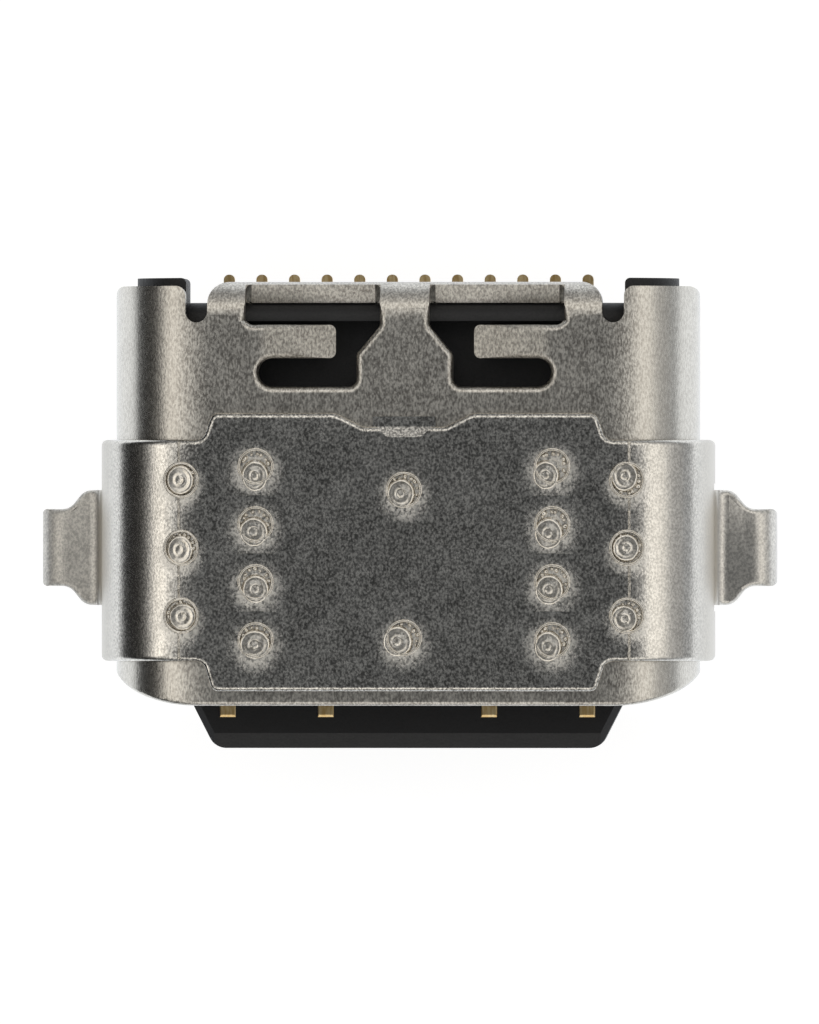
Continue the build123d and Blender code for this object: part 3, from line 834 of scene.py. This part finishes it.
        # A crater that is barely shifted leaves its open part at the rear.
        open_side = math.atan2(-dy + self.open_rear_mm, -dx)
        made = []
        for step in range(self.beads):
            turn = (step - (self.beads - 1) / 2) * self.bead_step_degrees
            turn += draw.uniform(-self.bead_swing_degrees, self.bead_swing_degrees)
            angle = open_side + math.radians(turn)
            ring = self.bead_ring_mm + draw.uniform(*self.bead_ring_spread_mm)
            radius = draw.uniform(*self.bead_radii_mm)
            bpy.ops.object.select_all(action="DESELECT")
            bpy.ops.mesh.primitive_ico_sphere_add(
                subdivisions=2, radius=radius * MM,
                location=mm(ring * math.cos(angle), ring * math.sin(angle), self.bead_z_mm))
            bead = bpy.context.object
            bead.rotation_euler = [draw.uniform(*self.bead_spin_radians) for _ in range(3)]
            bead.scale = (1.0, draw.uniform(*self.bead_widths), self.bead_height)
            made.append(bead)
        bpy.ops.object.select_all(action="DESELECT")
        for bead in made:
            bead.select_set(True)
        bpy.context.view_layer.objects.active = made[0]
        bpy.ops.object.transform_apply(location=True, rotation=True, scale=True)
        bpy.ops.object.join()
        bpy.ops.object.mode_set(mode="EDIT")
        bpy.ops.mesh.select_all(action="SELECT")
        bpy.ops.transform.vertex_random(offset=self.bead_dent_mm * MM, seed=seed)
        bpy.ops.object.mode_set(mode="OBJECT")
        bpy.ops.object.shade_smooth()
        return bpy.context.object

    def set_in_place(self, piece: bpy.types.Object, name: str, x: float, y: float, turn: float,
                     sizes: Pair, material: bpy.types.Material) -> None:
        """Lay a piece that was modelled at the origin on the cover's surface.

        Args:
            piece: The piece, round the Z axis with the surface at Z = 0.
            name: Name to give it.
            x: Its place across the cover, in millimetres.
            y: Its place along the cover, in millimetres.
            turn: Angle about its own axis, in radians.
            sizes: Width and length against the model.
            material: Material to dress it in.
        """
        piece.name = name
        z, tilt = self.surface.at(x)
        only(piece)
        piece.rotation_euler = (0.0, 0.0, turn)
        bpy.ops.object.transform_apply(location=False, rotation=True, scale=False)
        piece.scale = (*sizes, 1.0)
        bpy.ops.object.transform_apply(location=False, rotation=True, scale=True)
        piece.rotation_euler = (0.0, tilt, 0.0)
        piece.location = mm(x, y, z)
        bpy.ops.object.transform_apply(location=True, rotation=True, scale=True)
        dress(piece, material)
        attach(piece)

    def copy_of(self, model: bpy.types.Object, seed: int, offset_mm: float) -> bpy.types.Object:
        """Copy a model with its own mesh, slightly dented.

        Args:
            model: Object to copy.
            seed: Seed of the dents.
            offset_mm: Size of the dents, in millimetres.

        Returns:
            The copy.
        """
        piece = model.copy()
        piece.data = model.data.copy()
        bpy.context.scene.collection.objects.link(piece)
        only(piece)
        bpy.ops.object.mode_set(mode="EDIT")
        bpy.ops.mesh.select_all(action="SELECT")
        bpy.ops.transform.vertex_random(offset=offset_mm * MM, uniform=0.0, normal=0.0, seed=seed)
        bpy.ops.object.mode_set(mode="OBJECT")
        return piece

    def build(self, material: bpy.types.Material) -> None:
        """Make every spot.

        Args:
            material: Coined metal material.
        """
        lip = self.lip()
        crater = self.crater()
        draw = random.Random(self.seed)
        for number, (x, y, dx, dy) in enumerate(self.places(), 1):
            rim = self.copy_of(lip, number, self.lip_dent_mm)
            self.set_in_place(rim, f"spot_lip_{number:02d}", x, y, draw.uniform(*self.spin_radians),
                              (1.0, 1.0), material)
            bowl = self.copy_of(crater, self.crater_seed + number, self.crater_dent_mm)
            sizes = (draw.uniform(*self.crater_widths), draw.uniform(*self.crater_lengths))
            self.set_in_place(bowl, f"spot_crater_{number:02d}", x + dx, y + dy,
                              draw.uniform(*self.spin_radians), sizes, material)
            beads = self.torn_beads(draw, number, dx, dy)
            self.set_in_place(beads, f"spot_beads_{number:02d}", x, y, 0.0, (1.0, 1.0), material)
        for model in (lip, crater):
            bpy.data.objects.remove(model)
        log.info("weld spots: %d", len(self.places()))


@dataclass
class BendCreases:
    """Thin beaded line that the folding die left beside each side bend, between the weld spots."""

    x_mm: float = 3.43
    radius_mm: float = 0.026
    sunk_mm: float = 0.016
    ends_mm: Pair = (-2.26, 1.06)
    spot_reach_mm: float = 0.25
    steps_per_mm: int = 24
    dent_mm: float = 0.006
    surface: CoverSurface = field(default_factory=CoverSurface)

    def spans(self) -> list[Pair]:
        """Start and end of each stretch of line, along Y in millimetres."""
        starts = [self.ends_mm[0]] + [y + self.spot_reach_mm for y in SIDE_ROW.along()]
        ends = [y - self.spot_reach_mm for y in SIDE_ROW.along()] + [self.ends_mm[1]]
        return list(zip(starts, ends))

    def build(self, material: bpy.types.Material) -> None:
        """Model each stretch as a low, uneven bead on the cover.

        Args:
            material: Coined metal material.
        """
        z = self.surface.at(self.x_mm)[0] - self.sunk_mm
        for side, side_name in ((-1, "left"), (1, "right")):
            for number, (start, end) in enumerate(self.spans(), 1):
                bpy.ops.object.select_all(action="DESELECT")
                bpy.ops.mesh.primitive_cylinder_add(
                    vertices=8, radius=self.radius_mm * MM, depth=(end - start) * MM,
                    location=mm(side * self.x_mm, (start + end) / 2, z), rotation=(math.pi / 2, 0, 0))
                bead = bpy.context.object
                bead.name = f"bend_crease_{side_name}_{number}"
                bpy.ops.object.transform_apply(location=True, rotation=True, scale=True)
                for edge in bead.data.edges:
                    ends = [bead.data.vertices[index].co.y for index in edge.vertices]
                    edge.select = abs(ends[0] - ends[1]) > self.radius_mm * MM
                bpy.ops.object.mode_set(mode="EDIT")
                bpy.ops.mesh.select_mode(type="EDGE")
                bpy.ops.mesh.subdivide(number_cuts=int((end - start) * self.steps_per_mm))
                bpy.ops.mesh.select_all(action="SELECT")
                bpy.ops.transform.vertex_random(offset=self.dent_mm * MM, seed=10 * number + side + 1)
                bpy.ops.object.mode_set(mode="OBJECT")
                bpy.ops.object.shade_smooth()
                dress(bead, material)
                attach(bead)
        log.info("bend creases: %d stretches", 2 * len(self.spans()))


@dataclass
class SlitShadeStrip:
    """Thin black strip that closes the slit behind the bars of the rear flap: painted shade, a dark sheet set
    where the slit lies in shade.
    """

    inner_x_mm: float = 0.30
    outer_x_mm: float = 2.52
    rear_y_mm: float = 3.19
    thickness_mm: float = 0.03
    middle_z_mm: float = 2.10
    height_mm: float = 0.30
    edge_round_mm: float = 0.008
    shade_degrees: float = 40.0

    def build(self, material: bpy.types.Material) -> None:
        """Model one strip behind each window.

        Args:
            material: Moulded polymer.
        """
        width = self.outer_x_mm - self.inner_x_mm
        for side, side_name in ((-1, "left"), (1, "right")):
            bpy.ops.object.select_all(action="DESELECT")
            # Each strip is painted shade: black polymer standing in for the shade in the slit behind the
            # bars.
            middle_x = side * (self.inner_x_mm + self.outer_x_mm) / 2
            bpy.ops.mesh.primitive_cube_add(size=1.0, location=mm(middle_x, self.rear_y_mm, self.middle_z_mm))
            strip = bpy.context.object
            strip.name = f"slit_shade_strip_{side_name}"
            strip.scale = mm(width, self.thickness_mm, self.height_mm)
            bpy.ops.object.transform_apply(location=True, rotation=True, scale=True)
            bpy.ops.object.mode_set(mode="EDIT")
            bpy.ops.mesh.select_all(action="SELECT")
            bpy.ops.mesh.bevel(offset=self.edge_round_mm * MM, segments=2)
            bpy.ops.object.mode_set(mode="OBJECT")
            bpy.ops.object.shade_smooth_by_angle(angle=math.radians(self.shade_degrees))
            dress(strip, material)
            attach(strip)
        log.info("slit shade strip: %.2f mm wide", width)


@dataclass
class CadPieces:
    """The CAD nodes that stay as they are and only get their finish."""

    finishes: dict[str, Finish] = field(default_factory=lambda: {
        "tongue_moulding": Finish.POLYMER,
        "upper_contact_carrier": Finish.POLYMER,
        "lower_contact_carrier": Finish.POLYMER,
        "middle_plate": Finish.STEEL,
        "upper_ground_collar": Finish.STEEL,
        "lower_ground_collar": Finish.STEEL,
    })

    def build(self, materials: dict[Finish, bpy.types.Material]) -> None:
        """Dress each node.

        Args:
            materials: Material of each finish.
        """
        for name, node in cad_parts.items():
            # The rounded sheets stand for these two.
            if name in ("inner_shell", "outer_cover"):
                continue
            finish = self.finishes.get(name, Finish.GOLD)
            dress(node, materials[finish])
            log.info("%s: %s", name, finish.name.lower())


@dataclass
class Studio:
    """Pale floor, soft lights and the long lens that looks straight down on the port."""

    lean_degrees: float = 2.2
    pixels_per_mm: float = 65.3
    frame_width_px: float = 819.0
    distance_mm: float = 300.0
    aim_mm: tuple[float, float, float] = (0.018, -0.013, 1.58)
    floor_half_mm: float = 400.0
    pad_mm: float = 11.0
    pad_end_mm: float = 17.0
    dome_axis: tuple[float, float, float] = (0.085, -0.17, 1.0)
    dome_gain: float = 1.12
    dome_right_gain: float = 0.07
    dome_stops: tuple[tuple[float, float, float, float], ...] = (
        (0.00, 0.36, 0.36, 0.36), (0.30, 0.40, 0.40, 0.40), (0.40, 0.50, 0.50, 0.50),
        (0.50, 0.84, 0.82, 0.78), (0.62, 1.0, 0.975, 0.93), (0.72, 0.92, 0.90, 0.86),
        (0.80, 0.62, 0.62, 0.62), (0.86, 0.26, 0.26, 0.26), (0.93, 0.132, 0.137, 0.142),
        (1.00, 0.118, 0.123, 0.128))
    dark_left: Pair = (-0.30, -0.70)
    dark_left_share: float = 0.06
    horizon: Pair = (0.30, 0.52)
    room_ends_mm: Pair = (-8.0, 2.0)
    room_levels: Pair = (0.03, 0.42)
    pad_level: float = 1.16
    pad_tint: tuple[float, float, float, float] = (0.92, 0.955, 1.0, 1.0)
    paper_level: float = 0.30
    paper_glow: float = 0.88
    paper_bounce: float = 0.8
    softboxes: tuple[tuple[str, float, float], ...] = (
        ("right", 0, 0.18), ("rear", 90, 0.45), ("left", 180, 0.65), ("front", 270, 0.45))
    softbox_away_degrees: float = 52.0
    softbox_distance_mm: float = 220.0
    softbox_size_mm: Pair = (130.0, 55.0)
    softbox_tint: str = "fff8ee"

    def camera(self) -> None:
        """Place the camera above the port, leaning a little to the right."""
        data = bpy.data.cameras.new("long_lens")
        data.sensor_fit = "HORIZONTAL"
        data.sensor_width = 36.0
        width_mm = self.frame_width_px / self.pixels_per_mm
        data.lens = data.sensor_width * self.distance_mm / width_mm
        data.clip_start = 0.01
        data.clip_end = 10.0
        camera = bpy.data.objects.new("long_lens", data)
        bpy.context.scene.collection.objects.link(camera)
        lean = math.radians(self.lean_degrees)
        camera.location = mm(*self.aim_mm) + mm(math.sin(lean), 0, math.cos(lean)) * self.distance_mm
        camera.rotation_euler = (0.0, lean, 0.0)
        bpy.context.scene.camera = camera

    def softbox(self, name: str, turn_degrees: float, radiance: float) -> None:
        """Hang one soft light beside the port, half way up.

        Args:
            name: Side that it hangs on.
            turn_degrees: Direction in plan, from +X towards +Y.
            radiance: Brightness of its face, where one is white.
        """
        away = math.radians(self.softbox_away_degrees)
        turn = math.radians(turn_degrees)
        toward = Vector((math.sin(away) * math.cos(turn), math.sin(away) * math.sin(turn), math.cos(away)))
        data = bpy.data.lights.new(f"softbox_{name}", "AREA")
        data.shape = "RECTANGLE"
        data.size, data.size_y = mm(*self.softbox_size_mm)
        data.energy = radiance * math.pi * data.size * data.size_y
        data.color = colour(self.softbox_tint)[:3]
        lamp = bpy.data.objects.new(f"softbox_{name}", data)
        bpy.context.scene.collection.objects.link(lamp)
        lamp.location = toward * self.softbox_distance_mm * MM
        lamp.rotation_euler = toward.to_track_quat("Z", "Y").to_euler()

    def world(self) -> None:
        """Dome of soft light: dim straight above, bright all round at half height, dim at the horizon."""
        world = bpy.data.worlds.new("studio_dome")
        bpy.context.scene.world = world
        world.use_nodes = True
        tree = world.node_tree
        tree.nodes.clear()
        output = add_node(tree, "ShaderNodeOutputWorld")
        toward = add_node(tree, "ShaderNodeTexCoord").outputs["Generated"]
        axes = add_node(tree, "ShaderNodeSeparateXYZ", {}, {0: toward})
        # The dark patch overhead leans to the front and to the right.
        rise = add_node(tree, "ShaderNodeVectorMath", {"operation": "DOT_PRODUCT"},
                        {0: toward, 1: self.dome_axis})
        dome = add_node(tree, "ShaderNodeValToRGB", {},
                        {0: stretch_range(tree, rise.outputs["Value"], (0.0, 1.0))})
        set_ramp(dome, [(position, (*levels, 1.0)) for position, *levels in self.dome_stops])
        # The left side of the room is dark near the horizon, and the right side a little brighter.
        left = stretch_range(tree, axes.outputs[0], self.dark_left, (1.0, self.dark_left_share))
        high = stretch_range(tree, axes.outputs[2], self.horizon, smooth=True)
        side = add_node(tree, "ShaderNodeMix", {"data_type": "FLOAT"},
                        {"Factor": high, "A": left, "B": 1.0})
        gain = combine(tree, "MULTIPLY_ADD", axes.outputs[0], self.dome_right_gain, self.dome_gain)
        studio = add_node(tree, "ShaderNodeBackground", {},
                          {"Color": dome.outputs[0],
                           "Strength": combine(tree, "MULTIPLY", side.outputs[0], gain)})
        white = add_node(tree, "ShaderNodeBackground", {}, {"Color": grey(1.0), "Strength": 1.0})
        path = add_node(tree, "ShaderNodeLightPath")
        mix = add_node(tree, "ShaderNodeMixShader", {},
                       {0: path.outputs["Is Camera Ray"], 1: studio.outputs[0], 2: white.outputs[0]})
        tree.links.new(mix.outputs[0], output.inputs["Surface"])

    def floor(self) -> None:
        """Pale floor that stays white round the port and keeps its soft shadow."""
        bpy.ops.object.select_all(action="DESELECT")
        bpy.ops.mesh.primitive_plane_add(size=2 * self.floor_half_mm * MM)
        floor = bpy.context.object
        floor.name = "floor"
        material, tree, output = start_material("white_paper_sweep")
        place = add_node(tree, "ShaderNodeTexCoord").outputs["Object"]
        away = add_node(tree, "ShaderNodeVectorMath", {"operation": "LENGTH"}, {0: place})
        axes = add_node(tree, "ShaderNodeSeparateXYZ", {}, {0: place})
        pad = stretch_range(tree, away.outputs["Value"], metres((self.pad_mm, self.pad_end_mm)), (1.0, 0.0),
                            smooth=True)
        # Metal sees a bright pad under the port, and past it a room that is darker on the left.
        room = stretch_range(tree, axes.outputs[0], metres(self.room_ends_mm), self.room_levels)
        seen = add_node(tree, "ShaderNodeMix", {"data_type": "FLOAT"},
                        {"Factor": pad, "A": room, "B": self.pad_level})
        paper = add_node(tree, "ShaderNodeBsdfDiffuse", {}, {"Color": grey(self.paper_level)})
        glow = add_node(tree, "ShaderNodeEmission", {}, {"Color": grey(1.0), "Strength": self.paper_glow})
        bright = add_node(tree, "ShaderNodeAddShader", {}, {0: paper.outputs[0], 1: glow.outputs[0]})
        mirror = add_node(tree, "ShaderNodeEmission", {},
                          {"Color": self.pad_tint, "Strength": seen.outputs[0]})
        plain = add_node(tree, "ShaderNodeBsdfDiffuse", {}, {"Color": grey(self.paper_bounce)})
        path = add_node(tree, "ShaderNodeLightPath")
        other = add_node(tree, "ShaderNodeMixShader", {},
                         {0: path.outputs["Is Glossy Ray"], 1: plain.outputs[0], 2: mirror.outputs[0]})
        mix = add_node(tree, "ShaderNodeMixShader", {},
                       {0: path.outputs["Is Camera Ray"], 1: other.outputs[0], 2: bright.outputs[0]})
        tree.links.new(mix.outputs[0], output.inputs["Surface"])
        dress(floor, material)

    def build(self) -> None:
        """Set up camera, floor and lights."""
        self.camera()
        self.floor()
        self.world()
        for name, turn, radiance in self.softboxes:
            self.softbox(name, turn, radiance)


def main() -> None:
    """Build the studio and the port."""
    bpy.ops.object.select_all(action="DESELECT")
    bpy.context.scene.view_settings.view_transform = "Standard"
    Studio().build()
    materials = {finish: finish.value.build() for finish in Finish}
    CadPieces().build(materials)
    shell_edges = ShellEdges()
    RoundedSheet("inner_shell", "rolled_shell", Slot.SHELL, edge_round_mm=0.105, share=shell_edges.share,
                 round_sides=shell_edges).build(materials[Finish.SHELL])
    RoundedSheet("outer_cover", "stamped_cover", Slot.COVER, edge_round_mm=0.080,
                 share=CoverEdges().share).build(materials[Finish.COVER])
    # Black strips behind the flap's bars: painted shade in the slit there.
    SlitShadeStrip().build(materials[Finish.POLYMER])
    WeldSpots().build(materials[Finish.SPOT])
    BendCreases().build(materials[Finish.SPOT])
    bpy.context.view_layer.update()


if __name__ == "__main__":
    main()
